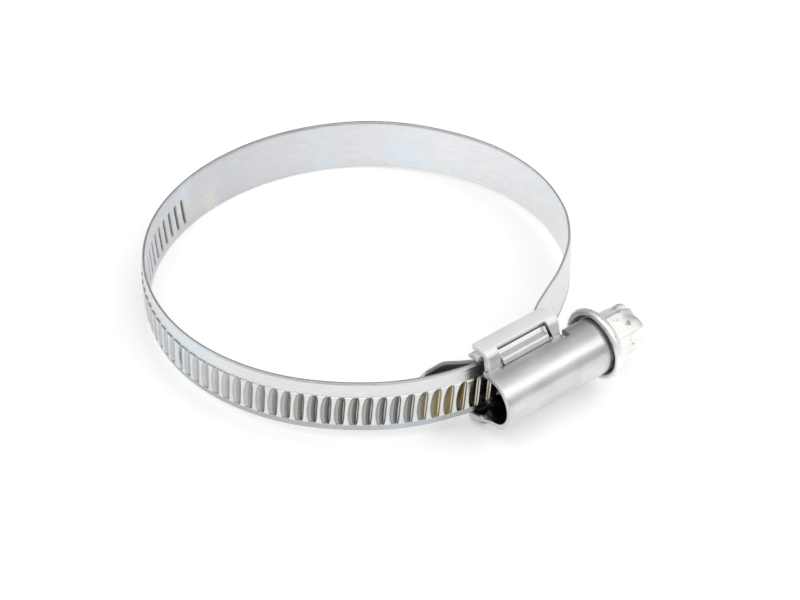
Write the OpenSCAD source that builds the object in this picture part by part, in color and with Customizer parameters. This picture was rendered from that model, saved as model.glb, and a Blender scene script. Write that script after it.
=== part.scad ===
// Worm-drive hose clamp, 9 mm band, shown open at a hose of 66 mm.
// Frame: the hose runs along Z through the origin. The screw runs along X, with its head at +X,
// and lies on the -Y side of the hose. Angles on the band are measured at the origin from +X.
// The band is one flexible strip. It is cut into stiff lengths at the hinges where it bends most
// as the clamp closes, so that it can follow the screw.

/* [Hose and band] */
// Radius of the hose that the band surrounds
hose_r = 33; // [31:0.5:35]
// Width of the band
band_w = 9; // [8.6:0.1:9.2]
// Thickness of the band
band_t = 0.6; // [0.5:0.05:0.6]
// Angle from the housing to each hinge in the band
hinge_a = 40; // [38:1:44]

/* [Pressed thread on the band] */
// Distance from rib to rib, which is also the lead of the worm
rib_pitch = 2; // [1.8:0.1:2.2]
// Height of a rib above the band
rib_h = 0.45; // [0.3:0.05:0.5]
// Width of a rib along the band
rib_w = 0.8; // [0.6:0.05:0.9]
// Length of a rib across the band
rib_len = 4.8; // [4:0.1:5.2]
// Slant of the ribs, the worm's lead angle
rib_slant = 5.5; // [4:0.5:7]

/* [Housing] */
// Thickness of the housing's sheet
shell_t = 0.8; // [0.7:0.05:0.85]
// Outer radius of the tube round the screw
tube_r = 4.5; // [4.45:0.05:4.6]
// Left end of the tube
tube_x0 = -5; // [-6:0.1:-4.5]
// Right end of the tube
tube_x1 = 14.9; // [14:0.1:14.9]
// Left end of the bars that fold over the band's edges
bar_x0 = -3.9; // [-4.5:0.1:-3.5]
// Right end of the bars
bar_x1 = 10; // [9.8:0.1:11]
// Height of the bars' outer faces from the middle of the band
bar_z = 6.9; // [6.8:0.05:7]

/* [Saddle] */
// Thickness of the saddle's sheet
saddle_t = 0.65; // [0.55:0.05:0.65]
// Left end of the saddle plate
saddle_x0 = 0; // [-0.3:0.1:0.5]
// Right end of the saddle plate
saddle_x1 = 6.5; // [6:0.1:6.6]
// Left end of the tabs
tab_x0 = -1.4; // [-1.6:0.1:-1]
// Right end of the tabs
tab_x1 = 7.2; // [6.8:0.1:7.4]

/* [Screw] */
// Distance across the flats of the head
hex_af = 7; // [6:0.5:7.5]
// Length of the head from the collar
head_len = 6.7; // [5:0.1:7]
// Radius of the collar
collar_r = 5.75; // [5.4:0.05:6]
// Radius of the worm's crest
worm_r = 3.45; // [3.3:0.05:3.45]
// Width of the screwdriver slot
slot_w = 1.2; // [0.8:0.1:1.5]

/* [Hidden] */
$fn = 96;

// Gap left between two neighbouring lengths of the band
cut_gap = 0.1;
// Gap between two layers that lie on each other
layer_gap = 0.02;
// Layers in the housing, as distances from the hose axis to each layer's hose side
saddle_d = hose_r + 0.05;
fixed_d = saddle_d + saddle_t + layer_gap;
threaded_d = fixed_d + band_t + 0.03;
// The screw's axis stands clear of the threaded band by a little more than the worm's crest
axis_d = threaded_d + band_t + worm_r + 0.05;
bore_r = tube_r - shell_t;
core_r = worm_r - rib_h - 0.1;
// Half the angle that the tube's open side takes, seen from the screw's axis
mouth_a = 67;

// The threaded end leaves the hose at this angle, runs straight, and bends level into the housing
lead_a = 30;
threaded_x0 = -4.5;
threaded_x1 = 7.5;
threaded_bend_r = bend_to_hose(-threaded_x0, threaded_d, lead_a);
// The fixed end leaves the housing level and bends back to the hose
fixed_x0 = -3.95;
fixed_flat_x0 = -0.4;
fixed_x1 = 6.4;
fixed_lead_a = 30;
fixed_bend_r = bend_to_hose(fixed_x1, fixed_d, fixed_lead_a);
// The tongue lies on the hose under the threaded end
tongue_d = hose_r + 0.05;
tongue_a0 = 17.6;
tongue_a1 = 7.2;

// Radius of the bend that turns a level face at distance d and offset x onto the hose's tangent at angle a
function bend_to_hose(x, d, a) = (hose_r - x * sin(a) - d * cos(a)) / (1 - cos(a));
function polar(r, a) = [r * cos(a), r * sin(a)];

// Part of a ring about the hose axis or another centre, from angle a0 to a1
module ring_part(r, t, w, a0, a1) {
    rotate([0, 0, a0])
        rotate_extrude(angle = a1 - a0)
            translate([r, -w / 2]) square([t, w]);
}

// Points round a bend in the band, from angle a0 to a1 about its centre
function bend(centre, r, a0, a1) = [for (i = [0:6]) centre + polar(r, a0 + (a1 - a0) * i / 6)];

// One rib of the pressed thread, standing out along -Y from a face at the origin
module rib() {
    root = 0.1;
    rotate([0, rib_slant, 0])
        translate([0, root - (rib_h + root) / 2, 0])
            cube([rib_w, rib_h + root, rib_len], center = true);
}

// Ribs on the round of the band, at these numbers of pitches from the first one
module round_ribs(first, last) {
    step = rib_pitch / (hose_r + band_t) * 180 / PI;
    for (k = [first:last])
        rotate([0, 0, -lead_a - step * (k + 0.4)]) translate([0, -hose_r - band_t, 0]) rib();
}

// Screw housing: one folded sheet, seen along the screw as (distance from the hose axis, height)
module housing_section() {
    tip = tube_r * 2;
    difference() {
        circle(tube_r);
        circle(bore_r);
        polygon([[0, 0], tip * [cos(mouth_a), sin(mouth_a)], [tip, 0],
                 tip * [cos(mouth_a), -sin(mouth_a)]]);
    }
}

// One of the two flanges, from the tube's shoulder over the band's edge to the end of the bar
module flange_section() {
    shoulder = polar(tube_r, mouth_a - 2);
    inner = polar(bore_r, mouth_a - 2);
    out_y = axis_d - 35.2;
    hose_y = axis_d - saddle_d;
    bar_in = bar_z - shell_t - 0.05;
    polygon([polar(tube_r, mouth_a + 3), [out_y - 0.55, bar_z - 0.9], [out_y - 0.1, bar_z - 0.15],
             [out_y + 0.2, bar_z], [hose_y, bar_z], [hose_y, bar_in], [out_y + 0.45, bar_in],
             [out_y + 0.1, bar_in - 0.4], [inner[0] + 0.7, inner[1] + 0.45], polar(bore_r, mouth_a + 3)]);
}

module screw_housing() {
    window = 0.4;
    color("silver")
        difference() {
            translate([0, -axis_d, 0]) {
                rotate([90, 0, 90])
                    translate([0, 0, tube_x0]) linear_extrude(height = tube_x1 - tube_x0) housing_section();
                for (side = [0, 1])
                    mirror([0, 0, side]) rotate([90, 0, 90])
                        translate([0, 0, bar_x0]) linear_extrude(height = bar_x1 - bar_x0) flange_section();
            }
            for (side = [0, 1])
                mirror([0, 0, side])
                    translate([tab_x0 - window, -axis_d + 1.5, tube_r - 0.25]) {
                        cube([tab_x1 - tab_x0 + 2 * window, axis_d - 35.2 - 1.5, 4]);
                        cube([tab_x1 - tab_x0 + 2 * window, axis_d - 34.6 - 1.5,
                              bar_z - shell_t - 0.05 - tube_r + 0.25]);
                    }
        }
}

// Saddle: plate on the hose side, ears under the bars and tabs out through the windows
module saddle() {
    ear_z = bar_z - shell_t - 0.1;
    bend_d = 34.6;
    color("lightgray") {
        translate([saddle_x0, -saddle_d - saddle_t, -ear_z])
            cube([saddle_x1 - saddle_x0, saddle_t, 2 * ear_z]);
        for (side = [0, 1])
            mirror([0, 0, side]) {
                translate([bar_x0, -bend_d, ear_z - saddle_t])
                    cube([bar_x1 - bar_x0, bend_d - saddle_d, saddle_t]);
                translate([tab_x0, 0, 0]) rotate([90, 0, 90])
                    linear_extrude(height = tab_x1 - tab_x0)
                        polygon([[-bend_d, ear_z], [-35.2, ear_z], [-36.8, ear_z - 0.7], [-37.4, ear_z - 1.2],
                                 [-37.4, ear_z - 1.45], [-36.7, ear_z - 1.35], [-35.1, ear_z - saddle_t],
                                 [-bend_d, ear_z - saddle_t]]);
            }
    }
}

// Tongue: the fixed end's free tip, which lies on the hose under the threaded end
module band_tongue() {
    color("gainsboro") ring_part(tongue_d, band_t, band_w, 270 - tongue_a0, 270 - tongue_a1);
}

module band_fixed_end() {
    centre = [fixed_x1, -fixed_d + fixed_bend_r];
    end_a = 270 + fixed_lead_a;
    ramp = [fixed_x0, -sqrt(pow(tongue_d, 2) - pow(fixed_x0, 2))];
    kink = [fixed_flat_x0, -fixed_d];
    ramp_a = atan2(ramp[1] - kink[1], kink[0] - ramp[0]);
    hose_side = concat([ramp, kink], bend(centre, fixed_bend_r, 270, end_a), [polar(hose_r, end_a)]);
    screw_side = concat([polar(hose_r + band_t, end_a)], bend(centre, fixed_bend_r + band_t, end_a, 270),
                        [kink - band_t * [tan(ramp_a / 2), 1],
                         ramp - band_t * [sin(ramp_a), cos(ramp_a)]]);
    color("gainsboro") {
        linear_extrude(height = band_w, center = true) polygon(concat(hose_side, screw_side));
        ring_part(hose_r, band_t, band_w, fixed_lead_a - 90, hinge_a - 90 - half_gap());
    }
}

// Half the gap between two lengths of the band, as an angle at the hose axis
function half_gap() = cut_gap / 2 / hose_r * 180 / PI;

module band_right_arc() {
    color("gainsboro")
        ring_part(hose_r, band_t, band_w, hinge_a - 90 + half_gap(), 90 - hinge_a - half_gap());
}

module band_back_arc() {
    color("gainsboro") {
        ring_part(hose_r, band_t, band_w, 90 - hinge_a + half_gap(), 90 + hinge_a - half_gap());
        round_ribs(33, 34);
    }
}

module band_left_arc() {
    color("gainsboro") {
        ring_part(hose_r, band_t, band_w, 90 + hinge_a + half_gap(), 270 - hinge_a - half_gap());
        round_ribs(3, 31);
    }
}

// Threaded end: from the last hinge along the hose, then straight and level through the housing
module band_threaded_end() {
    centre = [threaded_x0, -threaded_d + threaded_bend_r];
    start_a = 270 - lead_a;
    hose_side = concat([polar(hose_r, start_a)], bend(centre, threaded_bend_r, start_a, 270),
                       [[threaded_x1, -threaded_d]]);
    screw_side = concat([[threaded_x1, -threaded_d - band_t]],
                        bend(centre, threaded_bend_r + band_t, 270, start_a),
                        [polar(hose_r + band_t, start_a)]);
    color("gainsboro") {
        ring_part(hose_r, band_t, band_w, 270 - hinge_a + half_gap(), start_a);
        linear_extrude(height = band_w, center = true) polygon(concat(hose_side, screw_side));
        round_ribs(0, 2);
        for (k = [0:2])
            rotate([0, 0, -lead_a]) translate([(k + 0.6) * rib_pitch, -hose_r - band_t, 0]) rib();
        for (k = [-1:3]) translate([k * rib_pitch, -threaded_d - band_t, 0]) rib();
    }
}

// Worm thread: a ridge wound to the right about the X axis, as rings of four points
module worm_thread(x0, turns) {
    steps = 24;
    root_r = core_r - 0.1;
    rings = steps * turns;
    points = [for (i = [0:rings]) let (a = 360 * i / steps, x = x0 + rib_pitch * i / steps)
              for (p = [[root_r, -0.5], [worm_r, -0.25], [worm_r, 0.25], [root_r, 0.5]])
              [x + p[1], p[0] * cos(a), p[0] * sin(a)]];
    sides = [for (i = [0:rings - 1]) for (j = [0:3]) let (a = 4 * i + j, b = 4 * i + (j + 1) % 4)
             each [[a, b, b + 4], [a, b + 4, a + 4]]];
    polyhedron(points, concat([[3, 2, 1, 0]], sides, [[0, 1, 2, 3] + 4 * rings * [1, 1, 1, 1]]));
}

module worm_screw() {
    neck_x = 11.3;
    collar_x = tube_x1 + 0.15;
    head_x = collar_x + 1.1;
    color("darkgray")
        translate([0, -axis_d, 0]) {
            rotate([0, 90, 0]) {
                translate([0, 0, -1.6]) cylinder(r = core_r, h = collar_x + 2.1);
                translate([0, 0, neck_x]) cylinder(r = bore_r - 0.05, h = collar_x + 0.5 - neck_x);
                difference() {
                    translate([0, 0, collar_x]) cylinder(r = collar_r, h = head_x - collar_x);
                    translate([0, 0, collar_x - 0.5]) cylinder(r = collar_r - 0.7, h = 1);
                }
                difference() {
                    intersection() {
                        linear_extrude(height = head_x + head_len) hexagon(hex_af);
                        translate([0, 0, head_x - 0.1]) cylinder(r = hex_af * 0.56, h = head_len + 0.1);
                    }
                    translate([-slot_w / 2, -hex_af, head_x + head_len - 1.8]) cube([slot_w, 2 * hex_af, 4]);
                }
            }
            worm_thread(-1, 5);
        }
}

module hexagon(across) {
    polygon([for (k = [0:5]) polar(across / 2 / cos(30), 60 * k)]);
}

screw_housing();
saddle();
band_fixed_end();
band_tongue();
band_right_arc();
band_back_arc();
band_left_arc();
band_threaded_end();
worm_screw();
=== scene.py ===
"""Worm-drive hose clamp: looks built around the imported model.

Frame, as in the CAD: the hose runs along Z through the origin, the screw along X with its head at +X,
on the -Y side. Shapes and the band's UV map are laid out in millimetres; meshes, the places that
shaders read, camera and lights are in metres.
"""
import math

import bmesh
import bpy
import numpy as np
from mathutils import Matrix, Quaternion, Vector


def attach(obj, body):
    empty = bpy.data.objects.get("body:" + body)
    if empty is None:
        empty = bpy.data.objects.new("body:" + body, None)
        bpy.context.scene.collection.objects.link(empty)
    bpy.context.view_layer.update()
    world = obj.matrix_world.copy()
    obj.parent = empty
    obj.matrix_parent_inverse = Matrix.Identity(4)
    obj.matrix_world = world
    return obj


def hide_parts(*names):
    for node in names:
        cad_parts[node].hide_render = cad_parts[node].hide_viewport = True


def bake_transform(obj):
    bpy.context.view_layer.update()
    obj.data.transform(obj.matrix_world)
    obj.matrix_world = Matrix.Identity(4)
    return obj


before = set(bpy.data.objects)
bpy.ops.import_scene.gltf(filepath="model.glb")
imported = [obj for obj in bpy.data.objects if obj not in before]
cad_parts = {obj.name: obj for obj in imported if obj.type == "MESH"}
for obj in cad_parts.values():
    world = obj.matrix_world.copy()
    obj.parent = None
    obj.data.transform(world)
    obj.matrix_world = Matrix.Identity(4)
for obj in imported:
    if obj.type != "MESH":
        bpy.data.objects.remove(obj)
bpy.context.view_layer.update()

MM = 0.001
# Thickness of the band
BAND_T = 0.6
# Where the screw's axis lies
AXIS_Y = -38.45
# Pitch of the thread, and lean of the ribs across the band
PITCH = 2.0
SLANT = math.tan(math.radians(6))

# ---------------------------------------------------------------- camera


def make_camera():
    """A long lens, looking down across the screw's side of the ring."""
    data = bpy.data.cameras.new("camera")
    data.sensor_width = 36
    data.lens = 96.1
    data.clip_start = 0.01
    data.clip_end = 10
    cam = bpy.data.objects.new("camera", data)
    bpy.context.scene.collection.objects.link(cam)
    aim = Vector((-0.47, -11.41, 0)) * MM
    look = Vector((0.4731, 0.6211, -0.6248)).normalized()
    cam.location = aim - look * 0.3289
    cam.rotation_mode = "QUATERNION"
    cam.rotation_quaternion = look.to_track_quat("-Z", "Y") @ Quaternion((0, 0, 1), math.radians(-1.75))
    bpy.context.scene.camera = cam


make_camera()

# ---------------------------------------------------------------- node helpers


class Nodes:
    """A short way to write a shader tree."""

    def __init__(self, name):
        self.material = bpy.data.materials.new(name)
        self.material.use_nodes = True
        self.tree = self.material.node_tree
        self.tree.nodes.clear()

    def add(self, kind, **settings):
        node = self.tree.nodes.new(kind)
        for key, value in settings.items():
            setattr(node, key, value)
        return node

    def link(self, source, target):
        self.tree.links.new(source, target)

    def put(self, socket, value):
        if hasattr(value, "node"):
            self.link(value, socket)
        else:
            socket.default_value = value

    def noise(self, where, scale, detail=3, rough=0.55):
        node = self.add("ShaderNodeTexNoise")
        node.inputs["Scale"].default_value = scale
        node.inputs["Detail"].default_value = detail
        node.inputs["Roughness"].default_value = rough
        self.link(where, node.inputs["Vector"])
        return node.outputs["Fac"]

    def stretched(self, where, scale):
        node = self.add("ShaderNodeMapping")
        node.inputs["Scale"].default_value = scale
        self.link(where, node.inputs["Vector"])
        return node.outputs["Vector"]

    def span(self, value, a, b, c, d):
        """Maps a..b to c..d, clamped."""
        node = self.add("ShaderNodeMapRange")
        self.put(node.inputs["Value"], value)
        for key, number in zip(("From Min", "From Max", "To Min", "To Max"), (a, b, c, d)):
            node.inputs[key].default_value = number
        return node.outputs["Result"]

    def math(self, operation, a, b=0):
        node = self.add("ShaderNodeMath", operation=operation)
        self.put(node.inputs[0], a)
        self.put(node.inputs[1], b)
        return node.outputs[0]

    def product(self, *factors):
        result = factors[0]
        for factor in factors[1:]:
            result = self.math("MULTIPLY", result, factor)
        return result

    def axes(self, vector):
        """The X, Y and Z parts of a vector."""
        node = self.add("ShaderNodeSeparateXYZ")
        self.link(vector, node.inputs["Vector"])
        return node.outputs["X"], node.outputs["Y"], node.outputs["Z"]

    def screw_radius(self, from_axis, z):
        """Distance from the screw's axis."""
        squares = self.math("ADD", self.math("POWER", from_axis, 2), self.math("POWER", z, 2))
        return self.math("SQRT", squares)

    def mix(self, factor, a, b):
        node = self.add("ShaderNodeMix", data_type="RGBA", blend_type="MIX")
        self.put(node.inputs["Factor"], factor)
        self.put(node.inputs["A"], a if hasattr(a, "node") else (*a, 1))
        self.put(node.inputs["B"], b if hasattr(b, "node") else (*b, 1))
        return node.outputs["Result"]

    def bump(self, height, strength, distance, before=None):
        node = self.add("ShaderNodeBump")
        node.inputs["Strength"].default_value = strength
        node.inputs["Distance"].default_value = distance
        self.link(height, node.inputs["Height"])
        if before is not None:
            self.link(before, node.inputs["Normal"])
        return node.outputs["Normal"]

    def finish(self, color, rough, normal, metallic=1.0):
        shader = self.add("ShaderNodeBsdfPrincipled")
        out = self.add("ShaderNodeOutputMaterial")
        shader.inputs["Metallic"].default_value = metallic
        self.put(shader.inputs["Base Color"], color)
        self.put(shader.inputs["Roughness"], rough)
        self.link(normal, shader.inputs["Normal"])
        self.link(shader.outputs["BSDF"], out.inputs["Surface"])
        return self.material


def band_material():
    """Bright zinc on a rolled strip: streaks along the strip and faint chromate colours, with painted shade
    in the thread valleys, on the inside and along the outside's lower edge, and painted light on part of the
    inside.
    """
    n = Nodes("zinc_band")
    strip = n.add("ShaderNodeUVMap").outputs["UV"]
    place = n.add("ShaderNodeTexCoord").outputs["Object"]
    valley = n.add("ShaderNodeAttribute", attribute_name="valley").outputs["Fac"]
    olive = n.add("ShaderNodeAttribute", attribute_name="olive").outputs["Fac"]
    inside = n.add("ShaderNodeAttribute", attribute_name="inside").outputs["Fac"]
    streak = n.noise(n.stretched(strip, (0.22, 9, 1)), 1.0, 5, 0.65)
    grain = n.noise(place, 2600, 3, 0.6)
    blotch = n.noise(n.stretched(strip, (0.35, 1.1, 1)), 1.0, 4, 0.6)
    blue = n.noise(place, 75, 3, 0.55)
    yellow = n.noise(place, 120, 3, 0.55)
    outer = n.mix(n.span(streak, 0.3, 0.7, 0, 1), (0.66, 0.66, 0.66), (0.80, 0.80, 0.80))
    # The inside of the band is a darker copy of the same zinc: painted shade
    inner = n.mix(n.span(streak, 0.3, 0.7, 0, 1), (0.52, 0.525, 0.54), (0.64, 0.645, 0.66))
    along, across, _ = n.axes(strip)
    # Painted shade: the outside darkens towards its lower edge, where it faces the shadowed floor
    outer = n.mix(n.span(across, -3.55, -3.1, 0.7, 0), outer, (0.34, 0.34, 0.34))
    # Painted light: the inside is lighter 112 to 150 mm along the band, over the ring's back and right
    inner = n.mix(n.span(along, 112, 150, 0, 0.75), inner, (0.86, 0.865, 0.88))
    color = n.mix(inside, outer, inner)
    color = n.mix(n.span(blotch, 0.35, 0.65, 0.10, 0), color, (0.35, 0.35, 0.36))
    color = n.mix(n.span(blue, 0.54, 0.66, 0, 0.30), color, (0.58, 0.80, 0.92))
    color = n.mix(n.span(yellow, 0.57, 0.70, 0, 0.22), color, (0.92, 0.86, 0.62))
    # Painted shade: the thread valleys outside and the hollows behind the ribs inside are darkened
    color = n.mix(valley, color, (0.05, 0.05, 0.05))
    stained = n.mix(n.span(yellow, 0.4, 0.6, 0, 1), (0.29, 0.22, 0.05), (0.17, 0.125, 0.05))
    color = n.mix(n.product(olive, 0.85), color, stained)
    rough = n.span(streak, 0.2, 0.8, 0.22, 0.36)
    normal = n.bump(streak, 0.22, 0.00004)
    normal = n.bump(grain, 0.25, 0.00002, normal)
    return n.finish(color, rough, normal)


def shell_material():
    """Bright zinc on pressed sheet: soft press marks, drawn streaks and light speckle.

    The inside of the tube and mouth, the inside of the lower flange and the gaps round the saddle's tab are
    darkened with painted shade. The upper bar and its left end are rough and lightened with painted light.
    """
    n = Nodes("zinc_shell")
    place = n.add("ShaderNodeTexCoord").outputs["Object"]
    drawn = n.noise(n.stretched(place, (90, 900, 900)), 1.0, 5, 0.6)
    speckle = n.noise(place, 2200, 4, 0.65)
    cloud = n.noise(place, 160, 3, 0.55)
    color = n.mix(n.span(cloud, 0.35, 0.65, 0, 1), (0.61, 0.61, 0.61), (0.75, 0.75, 0.75))
    color = n.mix(n.span(drawn, 0.40, 0.62, 0.16, 0), color, (0.36, 0.35, 0.35))
    color = n.mix(n.span(speckle, 0.60, 0.75, 0, 0.35), color, (0.42, 0.41, 0.40))

    x, y, z = n.axes(place)
    from_axis = n.math("ADD", y, -AXIS_Y * MM)
    # Painted shade: the inside of the tube is near black
    inside_tube = n.span(n.screw_radius(from_axis, z), 0.00362, 0.00374, 1, 0)
    color = n.mix(inside_tube, color, (0.03, 0.03, 0.03))
    # Painted shade on the inner faces of the lower flange and bar, towards the hose
    under = n.product(n.span(z, -0.0060, -0.0058, 0, 1), n.span(z, -0.003, -0.001, 1, 0),
                      n.span(from_axis, 0.0019, 0.0023, 0, 1), n.span(x, -0.0044, -0.0041, 0, 1))
    color = n.mix(under, color, (0.03, 0.03, 0.03))
    # Painted shade: upward and left-facing faces inside the lower flange at the housing's left end
    facing_x, _, facing_z = n.axes(n.add("ShaderNodeTexCoord").outputs["Normal"])
    inward = n.math("MAXIMUM", n.span(facing_z, 0.0, 0.25, 0, 1), n.span(facing_x, -0.4, -0.2, 1, 0))
    mouth = n.product(inward, n.span(z, -0.0029, -0.0026, 1, 0), n.span(from_axis, -0.0014, -0.0009, 0, 1),
                      n.span(x, -0.0022, -0.0018, 1, 0), n.span(x, -0.00485, -0.0047, 0, 1))
    color = n.mix(mouth, color, (0.035, 0.035, 0.035))
    # Painted shadow in the gaps round the saddle's tab: the step above it and the strip under its free edge
    beside_tab = n.product(n.span(x, -0.00175, -0.00165, 0, 1), n.span(x, 0.0072, 0.0073, 1, 0))
    height = n.math("ABSOLUTE", z)
    step = n.product(n.span(from_axis, 0.00288, 0.0030, 0, 1), n.span(height, 0.00590, 0.0060, 1, 0),
                     n.span(height, 0.0046, 0.0048, 0, 1))
    shadow_below_tab = n.product(n.span(from_axis, 0.00085, 0.00100, 0, 1), n.span(height, 0.00444, 0.00446, 1, 0),
                     n.span(height, 0.0036, 0.0037, 0, 1))
    color = n.mix(n.product(beside_tab, n.math("MAXIMUM", step, shadow_below_tab)), color, (0.04, 0.04, 0.04))

    # Painted light: the bar's top and left end are lightened; they are also made rougher
    bar_top = n.span(z, 0.0060, 0.0067, 0, 1)
    bar_end = n.product(n.span(x, -0.0040, -0.0037, 1, 0), n.span(z, 0.0046, 0.0051, 0, 1), 0.6)
    bar_lit_and_rough = n.math("MAXIMUM", bar_top, bar_end)
    color = n.mix(n.product(bar_lit_and_rough, 0.95), color, (1.0, 1.0, 1.0))
    rough = n.math("ADD", n.span(cloud, 0.3, 0.7, 0.25, 0.35), n.product(bar_lit_and_rough, 0.45))
    normal = n.bump(drawn, 0.22, 0.00006)
    normal = n.bump(speckle, 0.22, 0.00003, normal)
    return n.finish(color, rough, normal)


def screw_material():
    """Bright zinc on a cold-forged screw: whitish, rough and pitted outside, with painted shade on the worm
    and neck inside the tube.

    The collar's hollow face carries the fine arcs of turning marks, darkened with painted shade.
    """
    n = Nodes("zinc_screw")
    place = n.add("ShaderNodeTexCoord").outputs["Object"]
    lumps = n.noise(place, 420, 4, 0.6)
    speckle = n.noise(place, 1900, 4, 0.7)
    pits = n.noise(place, 900, 2, 0.5)
    color = n.mix(n.span(lumps, 0.3, 0.7, 0, 1), (0.86, 0.86, 0.83), (0.98, 0.98, 0.96))
    color = n.mix(n.span(speckle, 0.62, 0.78, 0, 0.4), color, (0.50, 0.48, 0.45))
    color = n.mix(n.span(pits, 0.63, 0.71, 0, 0.7), color, (0.26, 0.25, 0.23))
    x, y, z = n.axes(place)
    radius = n.screw_radius(n.math("ADD", y, -AXIS_Y * MM), z)
    turning = n.math("SINE", n.product(radius, 15000))
    # The turning arcs are real marks; their dark ground is painted shade in the collar's hollow
    hollow = n.mix(n.span(turning, -0.2, 0.9, 0, 1), (0.10, 0.10, 0.10), (0.46, 0.46, 0.45))
    deep = n.product(n.span(radius, 0.00472, 0.00486, 1, 0), n.span(x, 0.0156, 0.0158, 1, 0))
    color = n.mix(deep, color, hollow)
    # Painted shade: everything left of 11.2 mm, the worm and most of the neck inside the tube, is near black
    color = n.mix(n.span(x, 0.0112, 0.0118, 1, 0), color, (0.05, 0.05, 0.05))
    rough = n.span(speckle, 0.3, 0.7, 0.36, 0.55)
    normal = n.bump(lumps, 0.40, 0.00020)
    normal = n.bump(speckle, 0.35, 0.00005, normal)
    return n.finish(color, rough, normal)


BAND = band_material()
SHELL = shell_material()
SCREW = screw_material()

# ---------------------------------------------------------------- mesh helpers


def make_object(name, points, faces, material, sharp=35, uv=None, values=None):
    """A mesh in metres from points in millimetres, smooth except at edges sharper than an angle."""
    mesh = bpy.data.meshes.new(name)
    mesh.from_pydata([tuple(c * MM for c in p) for p in points], [], faces)
    mesh.materials.append(material)
    if uv is not None:
        layer = mesh.uv_layers.new(name="UVMap")
        for loop in mesh.loops:
            layer.data[loop.index].uv = uv[loop.vertex_index]
    for key, numbers in (values or {}).items():
        mesh.attributes.new(key, "FLOAT", "POINT").data.foreach_set("value", numbers)
    bm = bmesh.new()
    bm.from_mesh(mesh)
    bmesh.ops.recalc_face_normals(bm, faces=bm.faces)
    bm.to_mesh(mesh)
    bm.free()
    mesh.shade_smooth()
    mesh.set_sharp_from_angle(angle=math.radians(sharp))
    obj = bpy.data.objects.new(name, mesh)
    bpy.context.scene.collection.objects.link(obj)
    return obj


def smoothstep(a, b, x):
    t = np.clip((np.asarray(x, float) - a) / (b - a), 0, 1)
    return t * t * (3 - 2 * t)


def smooth_path(points, step=0.05):
    """A smooth curve through the points, at even steps along its length."""
    p = np.array(points, float)
    p = np.vstack([2 * p[0] - p[1], p, 2 * p[-1] - p[-2]])
    out = []
    for i in range(1, len(p) - 2):
        a, b, c, d = p[i - 1 : i + 3]
        knots = np.cumsum([0, *np.sqrt(np.linalg.norm(np.diff([a, b, c, d], axis=0), axis=1))])
        t = np.linspace(knots[1], knots[2], 60, endpoint=False)[:, None]
        t0, t1, t2, t3 = knots
        ab = (t1 - t) / (t1 - t0) * a + (t - t0) / (t1 - t0) * b
        bc = (t2 - t) / (t2 - t1) * b + (t - t1) / (t2 - t1) * c
        cd = (t3 - t) / (t3 - t2) * c + (t - t2) / (t3 - t2) * d
        abc = (t2 - t) / (t2 - t0) * ab + (t - t0) / (t2 - t0) * bc
        bcd = (t3 - t) / (t3 - t1) * bc + (t - t1) / (t3 - t1) * cd
        out.append((t2 - t) / (t2 - t1) * abc + (t - t1) / (t2 - t1) * bcd)
    out = np.vstack([*out, p[-2][None]])
    run = np.concatenate([[0], np.cumsum(np.linalg.norm(np.diff(out, axis=0), axis=1))])
    even = np.arange(0, run[-1], step)
    return np.column_stack([np.interp(even, run, out[:, k]) for k in (0, 1)]), even


class Strip:
    """A path in the XY plane with its outward side."""

    def __init__(self, points):
        self.xy, self.run = smooth_path(points)
        way = np.gradient(self.xy, axis=0)
        way /= np.linalg.norm(way, axis=1)[:, None]
        side = np.column_stack([-way[:, 1], way[:, 0]])
        if (side * self.xy).sum() < 0:
            side = -side
        self.side = side
        self.length = self.run[-1]

    def at(self, u):
        u = np.clip(u, 0, self.length)
        xy = np.column_stack([np.interp(u, self.run, self.xy[:, k]) for k in (0, 1)])
        side = np.column_stack([np.interp(u, self.run, self.side[:, k]) for k in (0, 1)])
        return xy, side / np.linalg.norm(side, axis=1)[:, None]

    def where(self, x, y):
        """How far along the path its nearest point to (x, y) lies."""
        return self.run[np.argmin(np.linalg.norm(self.xy - (x, y), axis=1))]


# ---------------------------------------------------------------- band

# Height of the pressed ribs and depth of the valleys, from the band's own face
RIB_TOP = 0.27
VALLEY_LOW = -0.15
# Middle and half length of the pressed zone across the band
ZONE_MID = -0.68
ZONE_HALF = 2.70
# Depth of the hollows behind the ribs
HOLLOW = 0.30
# How far along the band the thread goes
LAST_RIB = 100.0


def zone_height(z):
    """How far across the pressed zone z lies: 0 in its middle, 1 at its ends."""
    return np.clip(np.abs(z - ZONE_MID) / ZONE_HALF, 0, 1)


def thread_columns(first, last, z):
    """Columns through every pitch between first and last: place along the strip, height and painted valley
    shade at z.

    A valley has a straight side towards the screw and a bulging side away from it.
    """
    h = zone_height(z)
    straight = 0.70 - 0.20 * h ** 6
    bulging = 0.10 + 0.72 * np.sqrt(1 - h ** 2)
    across = [
        (0.0, 0.80, 0.10), (0.04, 0.50, 0.88), (0.10, 0.34, 0.72), (0.13, 0.26, 0.10), (0.18, 0.12, 0.18),
        (0.21, 0.02, 0.94), (0.34, 0.0, 0.97), (0.38, 0.0, 0.88), (0.52, 0.10, 0.82), (0.62, 0.20, 0.78),
        (0.65, 0.26, 0.50), (0.80, 0.46, 0.50), (0.95, 0.70, 0.66), (1.0, 0.84, 0.30),
    ]
    table = [(-1.0 + 0 * h, 1.0, 0.0), (-0.90 + 0 * h, 1.0, 0.0), (-straight - 0.10, 1.0, 0.0)]
    table += [(-straight + t * (straight + bulging), height, valley_shade) for t, height, valley_shade in across]
    table += [(bulging + 0.10, 1.0, 0.0), (0.96 + 0 * h, 1.0, 0.0)]
    cols = []
    for i in range(math.floor(first / PITCH), math.ceil(last / PITCH) + 1):
        for place, height, valley_shade in table:
            cols.append((PITCH * i + PITCH / 2 + place, height, valley_shade))
    return cols


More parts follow.
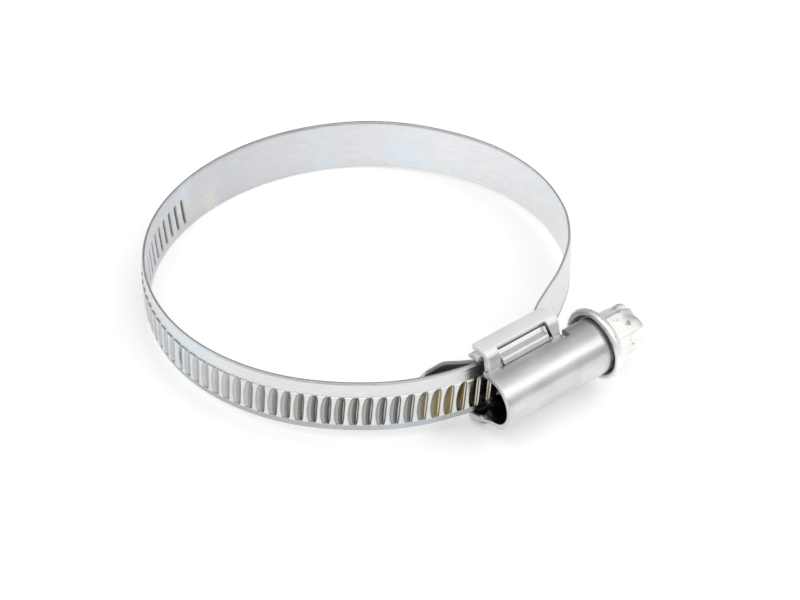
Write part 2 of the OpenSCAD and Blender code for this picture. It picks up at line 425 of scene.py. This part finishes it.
def thread_shape(c, z, height, valley_shade, last):
    """Pressed thread: outer rise, inner hollow and painted valley shade, fading out past the last rib."""
    h = zone_height(z)
    reach = smoothstep(last + 0.9, last + 0.1, c)
    sunk = 1 - (1 - np.asarray(height)) * smoothstep(1.0, 0.88, h)
    outer = (VALLEY_LOW * (1 - sunk) + RIB_TOP * sunk * smoothstep(1.0, 0.92, h)) * reach
    off = np.abs((c / PITCH + 0.5) % 1 - 0.5) * PITCH
    inner = HOLLOW * smoothstep(0.46, 0.16, off) * smoothstep(1.0, 0.8, h) * reach
    return outer, inner, valley_shade * smoothstep(1.0, 0.93, h) * reach


def rows_across():
    """Places across the band: close together on its rolled edges and at the ends of the pressed zone."""
    low = [-4.5, -4.46, -4.36, -4.2, -3.95, -3.82, -3.72, -3.6, -3.5]
    zone = [ZONE_MID + ZONE_HALF * h for h in
            (-1.0, -0.97, -0.94, -0.9, -0.86, -0.8, -0.72, -0.6, -0.45, -0.3, -0.15, 0.0,
             0.15, 0.3, 0.45, 0.6, 0.72, 0.8, 0.86, 0.9, 0.94, 0.97, 1.0)]
    high = [2.2, 2.5, 2.8, 3.1, 3.5, 3.72, 3.82, 3.95, 4.2, 4.36, 4.46, 4.5]
    return np.array([*low, *zone, *high])


def band_piece(name, strip, u0, u1, step, last=None, slant=SLANT, tip=False):
    """One length of the band, from u0 to u1 along a strip, with the pressed thread up to last."""
    rows = rows_across()
    if last is None or u0 > last + 1:
        cols = np.linspace(u0, u1, max(2, int(round((u1 - u0) / step)) + 1))
        c, z = np.meshgrid(cols, rows, indexing="ij")
        height = valley_shade = np.zeros_like(c)
    else:
        table = [row for row in thread_columns(u0, min(u1, last + 1), rows)
                 if row[0].min() > u0 + 0.03 and row[0].max() < u1 - 0.03]
        table = [(np.full_like(rows, u0), 1.0, 0.0)] + table
        plain = np.arange(min(u1, last + 2), u1 - 0.2, step)
        table += [(np.full_like(rows, v), 1.0, 0.0) for v in plain if v > table[-1][0].max() + 0.1]
        table.append((np.full_like(rows, u1), 1.0, 0.0))
        c = np.array([row[0] for row in table])
        z = np.broadcast_to(rows, c.shape).copy()
        height = np.array([np.full_like(rows, row[1]) for row in table])
        valley_shade = np.array([np.full_like(rows, row[2]) for row in table])
    if tip:
        z = z * (1 - 0.10 * smoothstep(u1 - 0.9, u1, c))
    u = c - slant * z
    xy, side = strip.at(u.ravel())
    if last is None:
        outer = inner = valley_shade = np.zeros_like(c)
    else:
        outer, inner, valley_shade = thread_shape(c, z, height, valley_shade, last)
    edge = np.abs(z)
    roll = 0.16 * smoothstep(3.95, 4.5, edge) ** 2
    groove = 0.045 * np.exp(-(((edge - 3.80) / 0.12) ** 2))
    top = BAND_T / 2 + outer - roll - groove
    low = -BAND_T / 2 + inner + 0.7 * roll
    points, uv = [], []
    for lift in (top, low):
        p = xy + side * lift.ravel()[:, None]
        points += [(a, b, h) for (a, b), h in zip(p, z.ravel())]
        uv += list(zip(u.ravel(), z.ravel()))
    n, m = c.shape
    total = n * m
    faces = []
    for i in range(n - 1):
        for j in range(m - 1):
            k = i * m + j
            faces.append((k, k + 1, k + m + 1, k + m))
            faces.append((total + k, total + k + m, total + k + m + 1, total + k + 1))
    for i in range(n - 1):
        a, b = i * m, (i + 1) * m
        faces.append((a, b, total + b, total + a))
        faces.append((b + m - 1, a + m - 1, total + a + m - 1, total + b + m - 1))
    for j in range(m - 1):
        a, b = j, (n - 1) * m + j
        faces.append((a + 1, a, total + a, total + a + 1))
        faces.append((b, b + 1, total + b + 1, total + b))
    # Painted shade for the thread valleys, weaker further along the band, and for the hollows behind the ribs
    # on the inside
    faded = valley_shade * (1 - 0.50 * smoothstep(34, 56, c))
    under = inner / HOLLOW * 0.92 if last else np.zeros_like(c)
    aged = smoothstep(0.2, 0.5, valley_shade) * smoothstep(26, 15, c)
    values = {
        "valley": np.concatenate([faded.ravel(), under.ravel()]),
        "olive": np.concatenate([aged.ravel(), np.zeros(total)]),
        "inside": np.concatenate([np.zeros(total), np.ones(total)]),
    }
    return make_object(name, points, faces, BAND, 28, uv, values)


def ring_points(first, last, step, radius):
    """Points round the hose from one angle to another; radius says how far out each angle lies."""
    count = max(1, int(round(abs(last - first) / step)))
    for i in range(count + 1):
        a = first + (last - first) * i / count
        r = radius(a)
        yield (r * math.cos(math.radians(a)), r * math.sin(math.radians(a)))


def ring_radius(a):
    """Distance of the band's middle from the hose axis: a ring that hand bending left a little oval."""
    angles = (-40, -30, -18, -8, 6, 16, 28, 45, 70, 90, 112, 130, 165, 200, 225, 231)
    radii = (33.5, 33.7, 33.95, 34.05, 33.95, 33.7, 33.45, 33.5,
             33.15, 33.0, 33.05, 33.2, 33.2, 33.35, 33.6, 33.75)
    return float(np.interp(a, angles, radii))


# The band's middle layer, from the threaded end round the ring to the fixed end
MAIN = Strip(
    [
        (8, -34.65), (5, -34.65), (2, -34.65), (-1, -34.65), (-3.2, -34.58),
        (-5.28, -34.3), (-6.85, -33.92), (-9.85, -33.0), (-12.75, -31.9), (-16.65, -29.8),
        *ring_points(231, -28, 7, ring_radius),
        (25.5, -21.2), (19.4, -25.75), (15.0, -28.05), (10.7, -30.35),
        (8.2, -32.4), (6.4, -33.7), (4.2, -34.02), (1, -34.02),
    ]
)
# The four hinges round the ring: angle from the Y axis and distance from the hose axis
HINGE_A = math.radians(40)
HINGE_R = 33.3
# Where the band is cut into its four lengths
CUTS = [0.0, MAIN.where(-HINGE_R, 0), MAIN.where(0, HINGE_R), MAIN.where(HINGE_R, 0), MAIN.length - 0.1]


def bend_across(piece, way, reach=5):
    """Bakes the piece's placement into its mesh."""
    way = Vector(way).normalized() * reach
    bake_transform(piece)


def make_band():
    sin, cos = math.sin(HINGE_A), math.cos(HINGE_A)
    threaded = band_piece("band_threaded", MAIN, CUTS[0], CUTS[1], 0.1, LAST_RIB)
    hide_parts("band_threaded_end")
    bend_across(threaded, (cos, -sin, 0))
    left = band_piece("band_left", MAIN, CUTS[1], CUTS[2], 0.1, LAST_RIB)
    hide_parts("band_left_arc")
    bend_across(left, (-cos, -sin, 0))
    back = band_piece("band_back", MAIN, CUTS[2], CUTS[3], 0.5)
    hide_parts("band_back_arc")
    bend_across(back, (-cos, sin, 0))
    right = band_piece("band_right", MAIN, CUTS[3], CUTS[4], 0.5)
    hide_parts("band_right_arc", "band_fixed_end")
    bend_across(right, (cos, sin, 0))
    tongue_path = Strip([(1.0, -34.02), (-1.0, -34.0), (-3.0, -33.9), (-4.4, -33.65), (-6.08, -32.68),
                         (-7.25, -31.8), (-8.2, -31.3), (-10.2, -31.3), (-12.35, -31.42)])
    tongue = band_piece("band_tongue_tip", tongue_path, 0, tongue_path.length - 0.05, 0.2, slant=0, tip=True)
    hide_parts("band_tongue")
    # The bend ends past the tip, so that the tip follows only part of the hinge and stays on the band
    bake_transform(tongue)


make_band()

# ---------------------------------------------------------------- sheet metal


def add_thickness(obj, thickness, bevel):
    """Gives a sheet its thickness, both ways from its middle layer, and small rounded edges."""
    solid = obj.modifiers.new("sheet", "SOLIDIFY")
    solid.thickness = thickness * MM
    solid.offset = 0
    solid.use_even_offset = True
    round_edges = obj.modifiers.new("edges", "BEVEL")
    round_edges.width = bevel * MM
    round_edges.segments = 3
    round_edges.limit_method = "ANGLE"
    round_edges.angle_limit = math.radians(40)
    round_edges.harden_normals = False


def apply_modifiers(obj):
    """Turns what the modifiers make into the object's own mesh."""
    graph = bpy.context.evaluated_depsgraph_get()
    mesh = bpy.data.meshes.new_from_object(obj.evaluated_get(graph))
    obj.modifiers.clear()
    obj.data = mesh


def finish_sheet(sheet, thickness, bevel, node):
    add_thickness(sheet, thickness, bevel)
    apply_modifiers(sheet)
    sheet.data.shade_smooth()
    sheet.data.set_sharp_from_angle(angle=math.radians(38))
    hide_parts(node)
    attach(sheet, "housing")


def sheet_grid(name, section, stations, place, keep):
    """A sheet: section points (d from the screw axis towards the hose, z) swept along stations in x.

    place moves each point to where it belongs, keep says which patches are metal and not a gap.
    """
    points, faces = [], []
    m = len(section)
    for i, x in enumerate(stations):
        for j, (d, z) in enumerate(section):
            px, pd, pz = place(x, j, d, z)
            points.append((px, AXIS_Y + pd, pz))
    for i in range(len(stations) - 1):
        for j in range(m - 1):
            if keep((stations[i] + stations[i + 1]) / 2, (section[j], section[j + 1])):
                a = i * m + j
                faces.append((a, a + 1, a + m + 1, a + m))
    obj = make_object(name, points, faces, SHELL, 50)
    bm = bmesh.new()
    bm.from_mesh(obj.data)
    bmesh.ops.delete(bm, geom=[v for v in bm.verts if not v.link_faces], context="VERTS")
    bm.to_mesh(obj.data)
    bm.free()
    return obj


def rounded(corners, radii, per=6):
    """A polyline whose inner corners are rounded to these radii."""
    out = [corners[0]]
    for i in range(1, len(corners) - 1):
        a, b, c = (np.array(corners[k], float) for k in (i - 1, i, i + 1))
        u, v = (a - b) / np.linalg.norm(a - b), (c - b) / np.linalg.norm(c - b)
        half = math.acos(np.clip(u @ v, -1, 1)) / 2
        cut = min(radii[i - 1] / math.tan(half), 0.48 * min(np.linalg.norm(a - b), np.linalg.norm(c - b)))
        r = cut * math.tan(half)
        centre = b + (u + v) / np.linalg.norm(u + v) * r / math.sin(half)
        p, q = b + u * cut - centre, b + v * cut - centre
        turn = math.atan2(p[0] * q[1] - p[1] * q[0], p @ q)
        for k in range(per + 1):
            s = turn * k / per
            out.append(tuple(centre + (p[0] * math.cos(s) - p[1] * math.sin(s),
                                       p[0] * math.sin(s) + p[1] * math.cos(s))))
    out.append(corners[-1])
    return [tuple(float(x) for x in p) for p in out]


# Radius of the tube's middle layer, thickness of the sheet and height of the bars' middle layer
TUBE_MID = 4.05
SHEET = 0.9
BAR_MID = 6.45
# Where the tube stops and a flange begins, seen from the screw's axis
FOOT_ANGLE = 68
# The notch between the flanges and the tube's plain right end
NOTCH = (9.3, 10.4)


def half_section():
    """The housing's sheet from the tube's outer side round to the end of a bar, in its middle layer."""
    tube = [(TUBE_MID * math.cos(math.radians(a)), TUBE_MID * math.sin(math.radians(a)))
            for a in np.arange(180, FOOT_ANGLE - 0.1, -7)]
    foot = tube[-1]
    claw = rounded([foot, (foot[0] + 0.16, foot[1] + 0.55), (2.6, BAR_MID), (5.45, BAR_MID)], [0.35, 1.0], 7)
    return tube + claw[1:], len(tube)


def make_housing():
    """One folded sheet: the tube, a flange and a bar on each side, with a window for each tab."""
    half, tube_count = half_section()
    section = [(d, -z) for d, z in half[::-1]] + half[1:]
    middle = len(half) - 1
    xs = [-5.0, -4.7, -4.4, -4.1, -3.8, -3.4, -2.9, -2.3]
    xs += list(np.linspace(-1.75, 7.75, 15))
    xs += [8.1, 8.5, 8.9, NOTCH[0], 9.8, NOTCH[1], 10.8, 11.2, 12, 13, 14, 14.7]

    along = np.cumsum([0.0] + [math.dist(a, b) for a, b in zip(half[:-1], half[1:])])
    bottom = 10
    lip_start, lip_way = (-1.39, -3.81), (6.6, -2.05)

    def lip(x, j, d, z):
        """The lower flange opens out to a straight lip at the housing's left end."""
        if z >= 0 or middle - j <= bottom:
            return d, z
        u = (along[middle - j] - along[bottom]) / (along[-1] - along[bottom])
        w = float(smoothstep(-3.8, -5.0, x))
        return d + w * (lip_start[0] + lip_way[0] * u - d), z + w * (lip_start[1] + lip_way[1] * u - z)

    def place(x, j, d, z):
        beyond = abs(j - middle) - (tube_count - 1)
        left = float(smoothstep(-2.2, -5.0, x))
        if x >= NOTCH[1] - 0.01 and beyond > 0:
            a = math.radians(FOOT_ANGLE - 1.1 * min(beyond, 6))
            return x, TUBE_MID * math.cos(a), math.copysign(TUBE_MID * math.sin(a), z)
        shape = 1.0 if z > 0 else 0.15
        ease = 0.55 * shape * float(smoothstep(-4, 6, beyond))
        lip_d, lip_z = lip(x, j, d, z)
        if beyond <= 0:
            return x + left * (ease - 0.12 * float(smoothstep(0, -4, d))), lip_d, lip_z
        low = float(smoothstep(3.8, 4.7, abs(z)))
        rise = float(smoothstep(4.4, 6.3, abs(z)))
        right = NOTCH[0] + 0.35 * rise - 0.25 * max(0.0, d - 3.85)
        window = (-1.75 - 0.5 * low + 0.5 * rise, 7.75 + 0.25 * low - 0.35 * rise)
        end = -5.0 + ease + 0.45 * shape * rise
        x = float(np.interp(x, (-5.0, -1.75, 7.75, NOTCH[0]), (end, *window, right)))
        return x, lip_d, lip_z

    def keep(x, pair):
        d = (pair[0][0] + pair[1][0]) / 2
        z = abs(pair[0][1] + pair[1][1]) / 2
        past_foot = z > 3.75 and d > 1.5
        in_bar = d > 3.0 and z > 6.3
        if NOTCH[0] < x < NOTCH[1]:
            return d < 0.15
        if not past_foot:
            return True
        if -1.75 < x < 7.75:
            return in_bar
        if x > NOTCH[1]:
            return z < 4.6 or d < 1.9
        return True

    shell = sheet_grid("housing_shell", section, xs, place, keep)
    finish_sheet(shell, SHEET, 0.13, "screw_housing")


make_housing()


def make_saddle():
    """A plate under the fixed end whose ears turn out under the bars and end in the tabs."""
    plate_d = -33.38 - AXIS_Y
    ear = rounded([(plate_d, 0.0), (plate_d, 5.65), (3.3, 5.65)], [0.55], 8)
    tab = rounded([(3.3, 5.65), (3.12, 5.60), (2.7, 5.10), (1.75, 4.90), (1.25, 4.2)], [0.3, 0.3, 0.2], 4)
    half = ear + tab[1:]
    section = [(d, -z) for d, z in half[::-1]] + half[1:]
    xs = [-4.85, -4.4, -3.2, -2.4, -1.55, -0.7, 0.0, 1.1, 2.2, 3.3, 4.4, 5.5, 6.5, 7.15, 8.0, 8.7, 9.2]

    def place(x, j, d, z):
        # The lower side is shorter at the left
        if z < 0 and x < -3.2:
            x = -3.2 + 0.45 * (x + 3.2)
        flare = 0.25 * float(smoothstep(2.9, 3.4, d) * smoothstep(4.2, 4.6, abs(z)) * smoothstep(2.9, 3.6, x))
        return x + (flare if -1.7 < x < 7.3 else 0), d, z

    def keep(x, pair):
        d = (pair[0][0] + pair[1][0]) / 2
        z = abs(pair[0][1] + pair[1][1]) / 2
        if d < 3.3:
            return -1.55 < x < 7.15
        if z < 4.6 and d > 4.5:
            return 0 < x < 6.5
        return True

    saddle = sheet_grid("saddle_sheet", section, xs, place, keep)
    finish_sheet(saddle, 0.66, 0.11, "saddle")


make_saddle()

# ---------------------------------------------------------------- screw


def tube_faces(rings, segments):
    """Faces between closed rings of points that follow each other."""
    faces = []
    for i in range(rings - 1):
        for k in range(segments):
            a, b = i * segments + k, i * segments + (k + 1) % segments
            faces.append((a, b, b + segments, a + segments))
    return faces


def cap_faces(tip, ring, segments):
    """A fan from the point tip to the ring of points that starts at ring."""
    return [(tip, ring + k, ring + (k + 1) % segments) for k in range(segments)]


def turned(name, profile, segments, sharp):
    """A turned piece about the screw's axis from (x, radius) points, closed at both ends on the axis."""
    points = []
    inner = profile[1:-1]
    for x, r in inner:
        for k in range(segments):
            a = 2 * math.pi * k / segments
            points.append((x, AXIS_Y + r * math.cos(a), r * math.sin(a)))
    faces = tube_faces(len(inner), segments)
    for end, ring in ((profile[0], 0), (profile[-1], (len(inner) - 1) * segments)):
        points.append((end[0], AXIS_Y, 0))
        faces += cap_faces(len(points) - 1, ring, segments)
    return make_object(name, points, faces, SCREW, sharp)


def make_screw():
    """Worm, plain neck, cup-shaped collar and hex head."""
    core, crest = 2.85, 3.42
    steps, turns, x0 = 40, 5, -1.0
    points, faces = [], []
    outline = [(-0.62, core - 0.1), (-0.42, core + 0.1), (-0.2, crest),
               (0.2, crest), (0.42, core + 0.1), (0.62, core - 0.1)]
    m = len(outline)
    for i in range(steps * turns + 1):
        a = 2 * math.pi * i / steps
        fade = float(smoothstep(0, 14, i) * smoothstep(steps * turns, steps * turns - 14, i))
        for dx, r in outline:
            r = core - 0.1 + (r - core + 0.1) * fade
            points.append((x0 + PITCH * i / steps + dx, AXIS_Y + r * math.cos(a), r * math.sin(a)))
    for i in range(steps * turns):
        for j in range(m - 1):
            k = i * m + j
            faces.append((k, k + 1, k + m + 1, k + m))
        faces.append((i * m + m - 1, i * m, (i + 1) * m, (i + 1) * m + m - 1))
    faces.append(tuple(range(m)))
    faces.append(tuple(range(steps * turns * m, steps * turns * m + m))[::-1])
    worm = make_object("worm_thread", points, faces, SCREW, 40)
    neck = [
        (-1.6, 0), (-1.6, 0.9), (-1.5, 1.7), (-1.3, 2.4), (-1.0, core - 0.08), (-0.7, core), (10.6, core),
        (11.0, 3.1), (12.2, 3.15), (12.4, 3.4), (13.3, 3.42), (13.5, 3.62), (14.9, 3.66),
    ]
    collar = [
        (15.35, 3.8), (15.52, 4.15), (15.5, 4.5), (15.3, 4.72), (14.98, 4.84), (14.76, 5.0),
        (14.66, 5.3), (14.76, 5.58), (15.0, 5.74), (15.4, 5.78), (15.75, 5.7), (16.0, 5.5),
        (16.16, 5.2), (16.24, 4.8), (16.28, 3.9), (16.28, 0),
    ]
    body = turned("worm_body", neck + collar, 128, 60)
    head = hex_head()
    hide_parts("worm_screw")
    for piece in (body, worm, head):
        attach(piece, "screw")


def near(a, middle, width):
    """1 where the angle a is at middle, fading to 0 over a few widths."""
    off = (a - middle + math.pi) % (2 * math.pi) - math.pi
    return math.exp(-((off / width) ** 2))


def saw_slot(head, angle, middle, size):
    """Cuts a slot with a blade of this size, turned about the screw's axis."""
    saw = bpy.data.meshes.new("saw")
    bm = bmesh.new()
    bmesh.ops.create_cube(bm, size=1)
    place = Matrix.Translation(middle * MM) @ Matrix.Rotation(angle - math.pi / 2, 4, "X")
    bmesh.ops.transform(bm, matrix=place @ Matrix.Diagonal((*(size * MM), 1)), verts=bm.verts)
    bm.to_mesh(saw)
    bm.free()
    blade = bpy.data.objects.new("saw", saw)
    bpy.context.scene.collection.objects.link(blade)
    cut = head.modifiers.new("slot", "BOOLEAN")
    cut.operation = "DIFFERENCE"
    cut.solver = "EXACT"
    cut.object = blade
    apply_modifiers(head)
    bpy.data.objects.remove(blade)


def hex_head():
    """Cold-formed hex head: soft edges, an uneven end and a sawn slot whose lips are pushed outward."""
    apothem, corner, start, end = 3.42, 3.86, 15.9, 22.9
    segments = 144
    slot_a = math.radians(76)
    xs = [start, 16.3, 17.2, 18.3, 19.5, 20.4, 21.1, 21.6, 21.9, 22.2, 22.45, 22.65, 22.8, 22.87, end]
    pull = [0.1, 0.05, 0, 0, 0, 0.02, 0.04, 0.08, 0.14, 0.24, 0.40, 0.62, 0.95, 1.35, 1.9]
    points = []
    for x, p in zip(xs, pull):
        lip = 0.50 * float(smoothstep(20.2, 21.6, x))
        dent = 0.5 * float(smoothstep(20.0, 21.8, x))
        wear = 0.14 * float(smoothstep(20, 22.2, x))
        shear = 0.1 * float(smoothstep(20.8, 22.3, x))
        for k in range(segments):
            a = 2 * math.pi * k / segments
            to_flat = (a + math.pi / 6) % (math.pi / 3) - math.pi / 6
            r = min(apothem / math.cos(to_flat), corner) - p
            for opposite in (0, math.pi):
                r += lip * near(a, slot_a + opposite - 0.36, 0.17)
                r -= dent * near(a, slot_a + opposite + 0.44, 0.33)
            r -= wear * (0.5 + 0.5 * math.sin(3 * a + 0.7) * math.sin(5 * a))
            points.append((x + shear * math.sin(2 * a + 1), AXIS_Y + r * math.cos(a), r * math.sin(a)))
    faces = tube_faces(len(xs), segments)
    points += [(start, AXIS_Y, 0), (end + 0.03, AXIS_Y, 0)]
    faces += cap_faces(len(points) - 2, 0, segments)
    faces += cap_faces(len(points) - 1, (len(xs) - 1) * segments, segments)
    head = make_object("hex_head", points, faces, SCREW, 50)
    saw_slot(head, slot_a, Vector((22.55, AXIS_Y, 0)), Vector((3.4, 1.35, 12)))
    soft = head.modifiers.new("edges", "BEVEL")
    soft.width = 0.16 * MM
    soft.segments = 3
    soft.limit_method = "ANGLE"
    soft.angle_limit = math.radians(50)
    apply_modifiers(head)
    head.data.shade_smooth()
    head.data.set_sharp_from_angle(angle=math.radians(40))
    return head


make_screw()

# ---------------------------------------------------------------- studio


def make_floor():
    """A white floor under the housing's bar and the far edge of the band."""
    front = Vector((0, -34, -6.95))
    back = Vector((0, 33, -4.55))
    slope = (back.z - front.z) / (back.y - front.y)
    size = 1500
    corners = [(x, y, front.z + slope * (y - front.y)) for x, y in
               ((-size, -size), (size, -size), (size, size), (-size, size))]
    n = Nodes("floor")
    place = n.add("ShaderNodeTexCoord").outputs["Object"]
    soft = n.noise(place, 30, 2, 0.5)
    color = n.mix(n.span(soft, 0.4, 0.6, 0, 1), (0.93, 0.93, 0.93), (0.95, 0.95, 0.95))
    normal = n.bump(soft, 0.02, 0.0001)
    white = n.finish(color, 0.7, normal, 0.0)
    shader = next(node for node in n.tree.nodes if node.type == "BSDF_PRINCIPLED")
    shader.inputs["Emission Color"].default_value = (1, 1, 1, 1)
    shader.inputs["Emission Strength"].default_value = 0.30
    make_object("floor", corners, [(0, 1, 2, 3)], white)


make_floor()


def make_world():
    """A white studio: brightest above the front, greyer behind the object."""
    world = bpy.data.worlds.new("studio")
    bpy.context.scene.world = world
    world.use_nodes = True
    tree = world.node_tree
    tree.nodes.clear()
    place = tree.nodes.new("ShaderNodeTexCoord")
    toward = tree.nodes.new("ShaderNodeVectorMath")
    ramp = tree.nodes.new("ShaderNodeValToRGB")
    back = tree.nodes.new("ShaderNodeBackground")
    out = tree.nodes.new("ShaderNodeOutputWorld")
    toward.operation = "DOT_PRODUCT"
    toward.inputs[1].default_value = (0.15, -0.50, 0.85)
    tree.links.new(place.outputs["Generated"], toward.inputs[0])
    tree.links.new(toward.outputs["Value"], ramp.inputs["Fac"])
    marks = ramp.color_ramp.elements
    marks[0].position, marks[0].color = 0.05, (0.20, 0.20, 0.203, 1)
    marks[1].position, marks[1].color = 0.97, (0.76, 0.76, 0.76, 1)
    for place_on, grey in ((0.30, 0.28), (0.57, 0.38), (0.82, 0.52), (0.90, 0.66)):
        marks.new(place_on).color = (grey, grey, grey * 1.01, 1)
    tree.links.new(ramp.outputs["Color"], back.inputs["Color"])
    back.inputs["Strength"].default_value = 1.5
    tree.links.new(back.outputs["Background"], out.inputs["Surface"])


def area_light(name, at, size, power):
    data = bpy.data.lights.new(name, "AREA")
    data.shape = "RECTANGLE"
    data.size, data.size_y = size
    data.energy = power
    light = bpy.data.objects.new(name, data)
    light.location = at
    light.rotation_mode = "QUATERNION"
    light.rotation_quaternion = (Vector((0, 0, 0)) - Vector(at)).to_track_quat("-Z", "Y")
    bpy.context.scene.collection.objects.link(light)


make_world()
area_light("key", (0.34, -0.44, 0.44), (0.42, 0.32), 0.32)
area_light("top", (-0.15, 0.05, 0.60), (0.7, 0.6), 0.9)
bpy.context.scene.view_settings.view_transform = "Standard"
